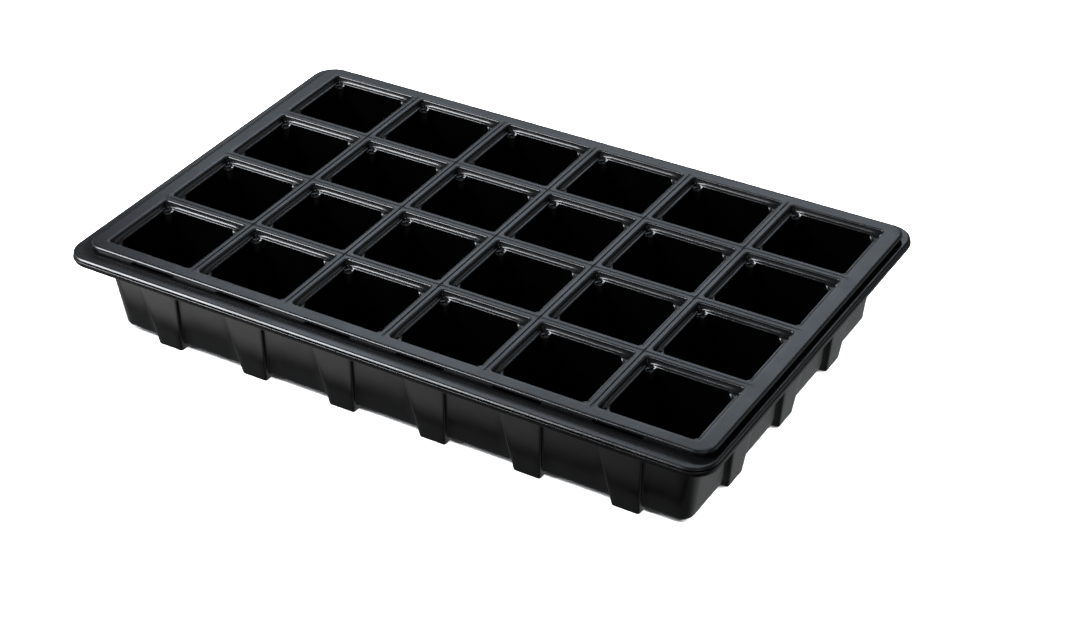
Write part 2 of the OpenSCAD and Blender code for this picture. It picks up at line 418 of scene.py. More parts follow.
@dataclass
class CarrierTray:
    """The ribbed tray: walls, feet, floor and rim, all one formed sheet on the real object."""

    wall: float = 1.2
    draft: float = 8.2
    flange_width: float = 11.95
    corner_radius: float = 13.5
    rim_radius: float = 14.0
    rib_pitch: float = 55.0
    rib_top: float = 27.5
    rib_foot: float = 15.3
    rib_out: float = 2.4
    rib_edge: float = 1.3
    rib_root: float = 0.8
    floor_fillet: float = 2.2
    pan_inset: float = 2.8
    join_inset: float = 9.0
    panel_bow: float = 0.25
    ribs_long: int = 6
    ribs_short: int = 3
    foot_depth: float = 9.2
    gutter: float = 0.42
    flange_bend: float = 1.5
    rim_sheet: float = 1.4
    # inset from the rim's edge, and share of the gutter's depth or fall below its bottom
    gutter_curve: tuple[tuple[float, float], ...] = (
        *((8.0, 0.1), (7.0, 0.4), (6.0, 0.7), (5.0, 0.92)),
        *((4.0, 1.0), (3.0, 1.0), (2.0, 1.0)),
    )
    rolled_edge: tuple[tuple[float, float], ...] = (
        *((1.45, 0.0), (1.3, 0.06), (1.15, 0.17), (0.95, 0.33)),
        *((0.75, 0.49), (0.6, 0.63), (0.52, 0.8), (0.5, 0.95)),
    )

    def __post_init__(self) -> None:
        """Reads the places that the frame fixes."""
        rim, floor = Bounds.of("tray_rim"), Bounds.of("tray_floor")
        self.top = float(rim.high[2])
        self.lip_low = float(rim.low[2])
        self.rim_x, self.rim_y = (float(v) for v in rim.half[:2])
        self.floor_low, self.floor_top = float(floor.low[2]), float(floor.high[2])
        self.face_x, self.face_y = self.rim_x - self.flange_width, self.rim_y - self.flange_width
        self.axis_x, self.axis_y = self.face_x - self.corner_radius, self.face_y - self.corner_radius
        self.material = FormedStyrene("formed_styrene_tray").make()

    def come_in(self, z: np.ndarray | float) -> np.ndarray | float:
        """How far a drafted face has come in at a height, from flange height."""
        return (self.top - z) * math.tan(math.radians(self.draft))

    def rib_half(self, z: np.ndarray | float) -> np.ndarray | float:
        """Half a rib's width at a height: it widens evenly from foot to flange."""
        return (self.rib_foot + (self.rib_top - self.rib_foot) * z / self.top) / 2

    def side_columns(self, half_length: float, ribs: int) -> tuple[np.ndarray, np.ndarray, np.ndarray]:
        """Columns of points along one wall, following the slanting edges of its ribs.

        A column stands at A + B times the rib's half width, so it slants as the rib does. Its third
        value is the share of the rib's height that it stands out by: a hollow arc at the rib's
        root, a steep flank and a round arc at its edge, then the flat face.

        Args:
            half_length: Half the wall's straight length.
            ribs: How many ribs it has.

        Returns:
            A, B and the share, one value each per column, from one end to the other.
        """
        t = np.linspace(0, math.pi / 2, 5)
        root_x = self.rib_root - self.rib_root * np.cos(t)
        root_out = (self.rib_root - self.rib_root * np.sin(t)) / self.rib_out
        edge_x = self.rib_edge * (np.sin(t) - 1)
        edge_out = (self.rib_out - self.rib_edge + self.rib_edge * np.cos(t)) / self.rib_out
        flank_x = np.concatenate([edge_x, root_x])
        flank_out = np.concatenate([edge_out, root_out])
        face = np.linspace(-1, 1, 7)[1:-1]
        middle = (np.arange(ribs) - (ribs - 1) / 2) * self.rib_pitch
        a_parts, b_parts, out_parts = [], [], []
        for c in middle:
            a_parts += [c - flank_x[::-1], c - face * self.rib_edge, c + flank_x]
            b_parts += [np.full(flank_x.size, -1.0), face, np.full(flank_x.size, 1.0)]
            out_parts += [flank_out[::-1], np.ones(face.size), flank_out]
        ribbed_a, ribbed_b = np.concatenate(a_parts), np.concatenate(b_parts)
        ribbed_out = np.concatenate(out_parts)
        per_rib = 2 * flank_x.size + face.size
        last = np.arange(1, ribs) * per_rib - 1
        share = np.linspace(0, 1, 6)[1:-1][None, :]
        gap_a = ribbed_a[last][:, None] * (1 - share) + ribbed_a[last + 1][:, None] * share
        gap_b = ribbed_b[last][:, None] * (1 - share) + ribbed_b[last + 1][:, None] * share
        a = np.insert(ribbed_a, np.repeat(last + 1, share.size), gap_a.ravel())
        b = np.insert(ribbed_b, np.repeat(last + 1, share.size), gap_b.ravel())
        out = np.insert(ribbed_out, np.repeat(last + 1, share.size), 0.0)
        end = np.linspace(0, 1, 5)[:-1]
        first_end, last_end = -half_length * (1 - end) + a[0] * end, half_length * (1 - end) + a[-1] * end
        a = np.concatenate([first_end, a, last_end[::-1]])
        b = np.concatenate([b[0] * end, b, (b[-1] * end)[::-1]])
        out = np.concatenate([np.zeros(end.size), out, np.zeros(end.size)])
        return a, b, out

    def wall_columns(self) -> dict[str, np.ndarray]:
        """All columns round the tray, anticlockwise from the -Y end of the right wall.

        A column has a base point, a direction outwards, a direction along, a distance to the plain
        face at flange height, its A and B, and its share of the rib's height. On a corner the base
        is the corner's axis and the direction outwards turns.

        Returns:
            Arrays by name, one row per column.
        """
        names = ("base", "out", "along", "reach", "a", "b", "rib")
        parts: dict[str, list[np.ndarray]] = {k: [] for k in names}
        for k in range(4):
            turn = k * math.pi / 2
            long_side = k % 2 == 1
            half_length = self.axis_x if long_side else self.axis_y
            a, b, rib = self.side_columns(half_length, self.ribs_long if long_side else self.ribs_short)
            n = a.size
            outward = np.array([math.cos(turn), math.sin(turn)])
            along = np.array([-math.sin(turn), math.cos(turn)])
            reach = self.face_y if long_side else self.face_x
            ways = (np.tile(outward, (n, 1)), np.tile(along, (n, 1)))
            side = (np.zeros((n, 2)), *ways, np.full(n, reach), a, b, rib)
            swing = turn + np.linspace(0, math.pi / 2, 15)[1:-1]
            m = swing.size
            middle = turn + math.pi / 4
            axis = np.array([self.axis_x, self.axis_y]) * np.sign([math.cos(middle), math.sin(middle)])
            turning = np.stack([np.cos(swing), np.sin(swing)], axis=1)
            radius, none = np.full(m, self.corner_radius), np.zeros(m)
            corner = (np.tile(axis, (m, 1)), turning, np.zeros((m, 2)), radius, none, none, none)
            for group in (side, corner):
                for name, values in zip(names, group):
                    parts[name].append(values)
        return {k: np.concatenate(v) for k, v in parts.items()}

    def wall_row(
        self, columns: dict[str, np.ndarray], z: float | np.ndarray, inset: float | np.ndarray, rib: float
    ) -> np.ndarray:
        """One row of the wall at a height.

        Args:
            columns: What wall_columns gives.
            z: The row's height, for all columns or for each.
            inset: How far inside the plain face it lies.
            rib: How far the ribs stand out on this row.

        Returns:
            Points, one per column.
        """
        height = np.broadcast_to(np.asarray(z, float), columns["a"].shape)
        reach = columns["reach"] - self.come_in(height) - inset + rib * columns["rib"]
        slide = columns["a"] + columns["b"] * self.rib_half(height)
        flat = columns["base"] + columns["out"] * reach[:, None] + columns["along"] * slide[:, None]
        return lift(flat, height)

    def build_walls(self) -> None:
        """The ribbed walls and corners with the inner part of the flange, as one closed skin.

        Rows run down the outside, round the foot of each panel to the pan, then up the inside and
        out over the flange to where the rim begins.
        """
        columns = self.wall_columns()
        plain = 1 - columns["rib"]
        under = self.top - self.rim_sheet
        rows = []
        foot = self.floor_low + self.floor_fillet
        for z in np.linspace(under, foot, 15):
            share = (z - foot) / (under - foot)
            bow = self.panel_bow * 4 * share * (1 - share) * plain
            rows.append(self.wall_row(columns, z, bow, self.rib_out))
        for t in np.radians([22.5, 45, 67.5, 90]):
            z = self.floor_low + self.floor_fillet * (1 - math.sin(t))
            inset = self.floor_fillet * (1 - math.cos(t)) * plain
            rows.append(self.wall_row(columns, z, inset, self.rib_out))
        rows.append(self.wall_row(columns, self.floor_low, self.pan_inset, 0.0))
        rows.append(self.wall_row(columns, self.floor_top, self.pan_inset, 0.0))
        rows.append(self.wall_row(columns, self.floor_top, self.wall + 0.6, self.rib_out - 0.6))
        bend = self.flange_bend
        for z in np.linspace(self.floor_top + 0.8, self.top - bend, 10):
            rows.append(self.wall_row(columns, z, self.wall, self.rib_out))
        for t in np.radians([30, 60, 90]):
            inset = self.wall - bend * (1 - math.cos(t))
            rows.append(self.wall_row(columns, self.top - bend + bend * math.sin(t), inset, self.rib_out))
        spread = self.join_inset - self.flange_width
        rows.append(self.wall_row(columns, self.top, spread, 0.0))
        rows.append(self.wall_row(columns, under, spread - float(self.come_in(under)), 0.0))
        skin = Skin()
        skin.add(np.stack(rows))
        nodes = [f"tray_wall_{s}" for s in ("front", "back", "left", "right")]
        nodes += [f"tray_corner_{c}" for c in ("fl", "fr", "bl", "br")]
        dress(skin.build("tray_side_walls", 35), self.material, "tray", nodes)

    def build_feet(self) -> None:
        """The foot under every rib: a rounded block that carries the rib's faces on to the ground."""
        skin = Skin()
        for k in range(4):
            turn = k * math.pi / 2
            long_side = k % 2 == 1
            ribs, face = (self.ribs_long, self.face_y) if long_side else (self.ribs_short, self.face_x)
            spin = np.array([[math.cos(turn), math.sin(turn)], [-math.sin(turn), math.cos(turn)]])
            for c in (np.arange(ribs) - (ribs - 1) / 2) * self.rib_pitch:
                rows = []
                for z, shrink in self.foot_profile():
                    outer = face - float(self.come_in(z)) + self.rib_out
                    middle = outer - self.foot_depth / 2
                    half = float(self.rib_half(z))
                    depth = self.foot_depth / 2
                    keep = max(0.0, 1 - shrink / depth) if shrink > self.rib_edge else 1.0
                    inset = 0.0 if shrink > self.rib_edge else shrink
                    flat = even_ring(depth - inset, half - inset, Turn(Corner.ROUND, self.rib_edge), 2, 4)
                    flat = flat * keep + np.array([middle, c])
                    rows.append(lift(flat @ spin, z))
                skin.add(np.stack(rows), close_rows=False)
        dress(skin.build("rib_feet", 35), self.material, "tray", ["tray_feet"])

    def foot_profile(self) -> list[tuple[float, float]]:
        """Heights and insets of a foot's rows, from the middle of its top to that of its sole.

        Returns:
            A height and an inset per row, in millimetres.
        """
        whole = self.foot_depth / 2
        sole = [(0.9 * (1 - math.sin(t)), 0.9 * (1 - math.cos(t))) for t in np.radians([0, 30, 60, 90])]
        return [
            (self.floor_low, whole),
            (self.floor_low, 0.0),
            (self.floor_low * 0.6, 0.0),
            *sole,
            (0.0, whole),
        ]

    def build_pan(self) -> None:
        """The floor: a plate between the feet of the walls."""
        rows = []
        outwards = (0.0, 0.5, 1.0)
        under = [(self.floor_low, share) for share in outwards]
        over = [(self.floor_top, share) for share in reversed(outwards)]
        for z, share in under + over:
            inset = float(self.come_in(z)) + self.pan_inset
            turn = Turn(Corner.ROUND, self.corner_radius - inset)
            rows.append(lift(even_ring(self.face_x - inset, self.face_y - inset, turn, 6, 7) * share, z))
        skin = Skin()
        skin.add(np.stack(rows), close_rows=False)
        dress(skin.build("tray_floor_pan", 35), self.material, "tray", ["tray_floor"])

    def build_rim(self) -> None:
        """The outer flange with its rolled edge, shadow groove and turned-down skirt.

        The profile is a closed outline of inset and height, carried round the rounded rectangle.
        """
        top, low = self.top, self.lip_low
        groove_top = top - self.rim_sheet
        dip = self.gutter
        profile = [(self.join_inset, top)]
        profile += [(inset, top - share * dip) for inset, share in self.gutter_curve]
        profile += [(inset, top - dip - fall) for inset, fall in self.rolled_edge]
        profile += [(0.5, groove_top + 0.1), (1.2, groove_top - 0.05), (1.5, groove_top - 0.4)]
        profile += [(1.2, groove_top - 0.75)]
        profile += arc((0.6, groove_top - 1.15), 0.35, 90, 180, 3)
        profile += arc((0.3, low + 1.6), 0.3, 180, 270, 3)
        profile += arc((0.95, low + 0.95), 0.35, 90, 180, 3)
        profile += arc((0.9, low + 0.3), 0.3, 180, 270, 3)
        profile += [(1.7, low), (2.0, low + 0.4), (2.0, groove_top - 0.9), (2.4, groove_top - 0.2)]
        profile += [(3.2, groove_top), (self.join_inset, groove_top)]
        rows = []
        for inset, z in profile:
            blend = min(1.0, inset / self.join_inset)
            inner_turn = self.corner_radius + self.flange_width - self.join_inset
            turn = (self.rim_radius - inset) * (1 - blend) + inner_turn * blend
            turn = self.rim_radius - inset if inset < 3 else turn
            half_x, half_y = self.rim_x - inset, self.rim_y - inset
            rows.append(lift(even_ring(half_x, half_y, Turn(Corner.ROUND, turn), 8, 9), z))
        skin = Skin()
        skin.add(np.stack(rows))
        dress(skin.build("tray_rim_roll", 50), self.material, "tray", ["tray_rim"])

    def build(self) -> None:
        """Builds all of the tray."""
        self.build_walls()
        self.build_feet()
        self.build_pan()
        self.build_rim()


# ---------------------------------------------------------------- the cell insert


@dataclass
class CellInsert:
    """The loose insert: a thin deck with rows of square collars and tapered cells below it."""

    columns: int = 6
    rows: int = 4
    sheet: float = 1.0
    wall: float = 0.8
    lip: float = 0.9
    opening_turn: float = 1.5
    ledge: float = 2.45
    ledge_edge: float = 0.5
    collar: float = 2.7
    draft: float = 6.9
    cut_top: float = 4.4
    corner_drop: float = 2.2
    rim_rows: int = 11
    cut_foot: float = 3.5
    foot_bend: float = 3.0
    foot_bend_out: float = 3.6
    drain: float = 4.0
    edge_band: float = 3.0
    bar_corner: float = 3.1
    leg_inset: float = 1.6
    leg: float = 1.2
    deck_radius: float = 9.5
    groove_depth: float = 0.55
    groove_half: float = 0.45
    crease_depth: float = 0.12
    wave: float = 0.2
    patch_straight: int = 5
    patch_curved: int = 7
    cup_straight: int = 4
    cup_curved: int = 6

    def __post_init__(self) -> None:
        """Reads the places that the frame fixes."""
        border = Bounds.of("deck_front", "deck_back", "deck_left", "deck_right")
        first, last = Bounds.of("cell_r1c1"), Bounds.of(f"cell_r{self.rows}c{self.columns}")
        self.middle = border.middle[:2]
        self.half_x, self.half_y = (float(v) for v in border.half[:2])
        self.top, self.stand = float(border.high[2]), float(border.low[2])
        self.pitch_x = float(last.middle[0] - first.middle[0]) / (self.columns - 1)
        self.pitch_y = float(last.middle[1] - first.middle[1]) / (self.rows - 1)
        self.open_x = float(first.half[0]) - self.wall
        self.open_y = float(first.half[1]) - self.wall
        self.cell_low = float(first.low[2])
        # the flat deck gives back a wide light as an even grey sheen, a little blue
        self.deck_material = FormedStyrene(
            "formed_styrene_deck",
            shade="#0e1012",
            tint="#131518",
            roughness=0.27,
            rough_spread=0.03,
            peel_mm=4.0,
        ).make()
        # collars and ledges are sharper bends of the same sheet and show as thin soft lines
        self.cell_material = FormedStyrene(
            "formed_styrene_cell",
            shade="#0b0c0d",
            tint="#0f1011",
            roughness=0.26,
        ).make()
        # painted shade: the cell's drawn walls get a near-black colour and weak reflections, standing in
        # for the shade deep inside each cell
        self.painted_shade_material = FormedStyrene(
            "formed_styrene_cell_painted_shade",
            shade="#020202",
            tint="#030303",
            roughness=0.3,
            specular=0.04,
        ).make()

    def cell_middle(self, i: int, j: int) -> np.ndarray:
        """The middle of the cell in column i and row j, both from 0."""
        step = np.array([i - (self.columns - 1) / 2, j - (self.rows - 1) / 2])
        return self.middle + step * np.array([self.pitch_x, self.pitch_y])

    def sway(self, x: np.ndarray, y: np.ndarray) -> np.ndarray:
        """The thin deck's slow waves, all below its nominal height: crossed sines and slanting ones.

        Args:
            x: Places in X.
            y: Places in Y.

        Returns:
            How far each place is moved up, never more than nothing.
        """
        return self.wave * (
            0.4 * np.sin(x / 61 + 0.4) * np.cos(y / 47 - 0.3)
            + 0.3 * np.sin((x + 1.7 * y) / 83 + 1.1)
            + 0.3 * np.sin((x - 0.6 * y) / 16.5)
            - 1.0
        )

    def settle(self, rows: np.ndarray) -> np.ndarray:
        """Presses the grooves into the deck's top and bends it by its waves.

        Args:
            rows: Points, shaped rows by columns by 3.

        Returns:
            The same points, moved up or down.
        """
        x, y, z = rows[..., 0], rows[..., 1], rows[..., 2]
        near_top = np.clip((z - self.top + 0.05) / 0.05, 0, 1)
        bar_x = (np.arange(1, self.columns) - self.columns / 2) * self.pitch_x + self.middle[0]
        bar_y = (np.arange(1, self.rows) - self.rows / 2) * self.pitch_y + self.middle[1]
        off_x = np.min(np.abs(x[..., None] - bar_x), axis=-1)
        off_y = np.min(np.abs(y[..., None] - bar_y), axis=-1)
        run = self.rows * self.pitch_y / 2 - 2.2 - np.abs(y - self.middle[1])
        groove = np.clip(1.25 * (1 - (off_x / self.groove_half) ** 2), 0, 1) * np.clip(run / 0.8, 0, 1)
        reach = self.columns * self.pitch_x / 2 - 3.2 - np.abs(x - self.middle[0])
        crease = np.clip(1 - (off_y / 0.5) ** 2, 0, 1) * np.clip(reach / 0.8, 0, 1)
        drop = near_top * np.maximum(groove * self.groove_depth, crease * self.crease_depth)
        held = np.clip((z - self.stand) / (self.top - self.stand), 0, 1)
        return np.stack([x, y, z - drop + held * self.sway(x, y)], axis=-1)

    def opening(self, grow: float) -> np.ndarray:
        """The outline of a cell's opening, centred on it.

        Args:
            grow: How far the outline is grown all round.

        Returns:
            Points as a ring gives them.
        """
        half_x, half_y = self.open_x + grow, self.open_y + grow
        turn = Turn(Corner.ROUND, self.opening_turn + grow)
        return even_ring(half_x, half_y, turn, self.patch_straight, self.patch_curved)

    def patch(self, i: int, j: int) -> np.ndarray:
        """The deck round one opening, as rows from the underside's edge to the top's edge.

        Rows come in along the underside, go down the collar's outside, up its inside, over the
        rounded lip and out along the top. The outer edge is the middle of the next bar, or on the
        border a line just inside the deck's edge, with the deck's round corner.

        Args:
            i: Column, from 0.
            j: Row, from 0.

        Returns:
            Points, shaped rows by columns by 3.
        """
        rim_x, rim_y = self.half_x - self.edge_band, self.half_y - self.edge_band
        middle = self.cell_middle(i, j)
        off = middle - self.middle
        last = (i == self.columns - 1, j == self.rows - 1, i == 0, j == 0)
        far = (rim_x - off[0], rim_y - off[1], rim_x + off[0], rim_y + off[1])
        bar = (self.pitch_x / 2, self.pitch_y / 2) * 2
        reach = tuple(far[k] if last[k] else bar[k] for k in range(4))
        deck_corner = Turn(Corner.ROUND, self.deck_radius - self.edge_band)
        bar_corner = Turn(Corner.SQUARE, self.bar_corner)
        turns = [deck_corner if last[k] and last[(k + 1) % 4] else bar_corner for k in range(4)]
        outer = ring(reach, tuple(turns), self.patch_straight, self.patch_curved)
        top, under = self.top, self.top - self.sheet
        rows = []
        inner = self.opening(self.wall + 0.2)
        for share in (1.0, 0.5, 0.0):
            rows.append(lift(outer * share + inner * (1 - share), under))
        rows.append(lift(self.opening(self.wall), under - 0.3))
        rows.append(lift(self.opening(self.wall), top - self.collar - 0.5))
        rows.append(lift(self.opening(0.0), top - self.collar - 0.5))
        for z in np.linspace(top - self.collar, top - self.lip, 3):
            rows.append(lift(self.opening(0.0), z))
        for t in np.radians([18, 36, 54, 72, 90]):
            grow, fall = self.lip * (1 - math.cos(t)), self.lip * (1 - math.sin(t))
            rows.append(lift(self.opening(grow), top - fall))
        inner = self.opening(self.lip)
        for share in (0.25, 0.5, 0.7, 0.78, 0.85, 0.92, 1.0):
            rows.append(lift(outer * share + inner * (1 - share), top))
        flat = np.stack(rows)
        flat[..., :2] += middle
        return flat

    def build_deck(self) -> None:
        """The deck: the patches round all openings, and the rounded edge with its standing leg."""
        skin = Skin()
        rim = []
        for j in range(self.rows):
            for i in range(self.columns):
                patch = self.patch(i, j)
                skin.add(self.settle(patch), close_rows=False)
                rim.append(patch[-1])
        skin.add(self.settle(self.edge(np.concatenate(rim))), close_rows=False)
        nodes = [f"deck_{s}" for s in ("front", "back", "left", "right")]
        nodes += [f"column_bar_{i}" for i in range(1, self.columns)]
        nodes += [f"row_bar_{j}" for j in range(1, self.rows)]
        dress(skin.build("insert_deck_sheet", 50), self.deck_material, "insert", nodes)

    def edge(self, border: np.ndarray) -> np.ndarray:
        """The deck's edge: from the top, round and in under, down the leg and back up inside it.

        The border points that lie on the outline are put in order by their angle about the middle,
        and each row moves them straight outwards by the profile's distance.

        Args:
            border: The outer points of every patch's top.

        Returns:
            Points, shaped rows by columns by 3.
        """
        half = np.array([self.half_x, self.half_y]) - self.edge_band
        turn = self.deck_radius - self.edge_band
        flat = np.unique(np.round(border[:, :2] - self.middle, 4), axis=0)
        heart = np.clip(flat, turn - half, half - turn)
        gap = flat - heart
        length = np.linalg.norm(gap, axis=1)
        on_line = np.abs(length - turn) < 0.01
        flat, outward = flat[on_line], gap[on_line] / length[on_line][:, None]
        order = np.argsort(np.arctan2(flat[:, 1], flat[:, 0]))
        flat, outward = flat[order] + self.middle, outward[order]
        top, band = self.top, self.edge_band
        profile = [(0.0, top), (band * 0.35, top)]
        profile += [(band - 1.3 + 1.3 * x, top - 1.3 + 1.3 * z) for x, z in arc((0, 0), 1, 90, 0, 6)]
        profile += [(band - 0.1, top - 1.5), (band - 0.5, top - 1.6), (band - self.leg_inset, top - 1.6)]
        profile += [(band - self.leg_inset, self.stand), (band - self.leg_inset - self.leg, self.stand)]
        profile += [(band - self.leg_inset - self.leg, top - self.sheet), (0.0, top - self.sheet)]
        return np.stack([lift(flat + outward * out, z) for out, z in profile])

    def fall(self, z: float) -> float:
        """How far a cell's drafted wall has come in at a height, from its ledge."""
        return (self.top - self.collar - z) * math.tan(math.radians(self.draft))

    def cup_profile(self) -> list[tuple[float, float, int, float]]:
        """A cell's profile, row by row.

        It starts at the ledge's outer edge, comes over the ledge, down the inside and across the
        foot to the drain hole, then back along the outside.

        Returns:
            Inset from the opening, size of the corner, 1 where it is cut or 0 where round, height.
        """
        ledge_top = self.top - self.collar
        low_in, low_out = self.cell_low + self.wall, self.cell_low
        inside = [(-0.5, 0.6, 0, ledge_top + 1.2), (-0.02, 0.8, 0, ledge_top + 1.6)]
        inside += [(0.3, 1.0, 0, ledge_top + 0.9), (0.7, 1.3, 0, ledge_top + 0.25)]
        inside += [(1.05, 1.6, 0, ledge_top), (self.ledge - 0.8, 2.2, 0, ledge_top)]
        edge = self.ledge_edge
        inside += [(self.ledge - edge, self.cut_top - 0.5, 1, ledge_top)]
        for t in np.radians([22.5, 45, 67.5, 90]):
            inset, fall = self.ledge - edge + edge * math.sin(t), edge * (1 - math.cos(t))
            inside.append((inset, self.cut_top, 1, ledge_top - fall))
        for z in np.linspace(ledge_top - 3, low_in + 3, 5):
            share = (z - low_in) / (ledge_top - low_in)
            cut = self.cut_foot + (self.cut_top - self.cut_foot) * share
            inside.append((self.ledge + self.fall(z), cut, 1, z))
        foot = self.ledge + self.fall(low_in)
        bend_in, bend_out = self.foot_bend, self.foot_bend_out
        for t in np.radians([30, 60, 90]):
            inset = foot - 0.35 + bend_in * (1 - math.cos(t))
            inside.append((inset, self.cut_foot, 1, low_in + bend_in * (1 - math.sin(t))))
        outside = [(foot + bend_in, self.cut_foot, 1, low_out)]
        for t in np.radians([60, 30, 0]):
            inset = foot - 1.15 + bend_out * (1 - math.cos(t))
            outside.append((inset, self.cut_foot + 1, 1, low_out + bend_out * (1 - math.sin(t))))
        outside += [(self.ledge - self.wall + 0.1, self.cut_top, 1, ledge_top - self.wall - 0.1)]
        outside += [(0.3, 1.2, 0, ledge_top - self.wall), (-0.5, 0.6, 0, ledge_top - self.wall + 0.1)]
        return [*inside, *outside]

    def build_cup(self, i: int, j: int) -> None:
        """One cell as a closed skin with its drain hole.

        Args:
            i: Column, from 0.
            j: Row, from 0.
        """
        profile = self.cup_profile()
        rows = []
        for inset, size, is_cut, z in profile:
            turn = Turn(Corner.CUT if is_cut else Corner.ROUND, size)
            half_x, half_y = self.open_x - inset, self.open_y - inset
            rows.append(lift(even_ring(half_x, half_y, turn, self.cup_straight, self.cup_curved), z))
        angle = np.arctan2(rows[0][:, 1], rows[0][:, 0])
        low, foot_top = self.cell_low, self.cell_low + self.wall
        hole = [(self.drain + 0.3, foot_top), (self.drain, foot_top - 0.25), (self.drain, low)]
        circle = np.stack([np.cos(angle), np.sin(angle)], axis=1)
        circles = [lift(radius * circle, z) for radius, z in hole]
        split = next(k for k, p in enumerate(profile) if p[3] == low)
        rows[split:split] = circles
        whole = np.stack(rows)
        per_corner = 2 * (self.cup_straight + self.cup_curved)
        along = np.arange(whole.shape[1]) % per_corner - self.cup_straight
        corner = np.sin(np.clip(along / (2 * self.cup_curved), 0, 1) * math.pi) ** 0.5
        inset = np.array([p[0] if k < self.rim_rows else 0.0 for k, p in enumerate(profile)])
        inset = np.insert(inset, split, np.zeros(len(circles)))
        down = np.clip(inset, 0, self.ledge) / self.ledge
        whole[..., 2] -= self.corner_drop * corner[None, :] * down[:, None]
        whole[..., :2] += self.cell_middle(i, j)
        held = np.clip((whole[..., 2] - self.top + 8) / 8, 0, 1)
        whole[..., 2] += held * self.sway(whole[..., 0], whole[..., 1])
        skin = Skin()
        # the cell's inside, from the ledge's rounded edge down over the floor and into the drain hole,
        # wears the second material, a painted shade
        skin.add(whole, second=range(self.rim_rows - 1, split + len(circles) - 1))
        cup = skin.build(f"cell_cup_r{j + 1}c{i + 1}", 55)
        dress(cup, self.cell_material, "insert", [f"cell_r{j + 1}c{i + 1}"])
        cup.data.materials.append(self.painted_shade_material)

    def build(self) -> None:
        """Builds the deck and every cell."""
        self.build_deck()
        for j in range(self.rows):
            for i in range(self.columns):
                self.build_cup(i, j)


# ---------------------------------------------------------------- the studio


@dataclass(frozen=True)
class Softbox:
    """One lamp: where it hangs and its width and height in metres, its watts and its sRGB colour."""

    name: str
    place: tuple[float, float, float]
    size: tuple[float, float]
    power: float
    colour: str = "#f6faff"


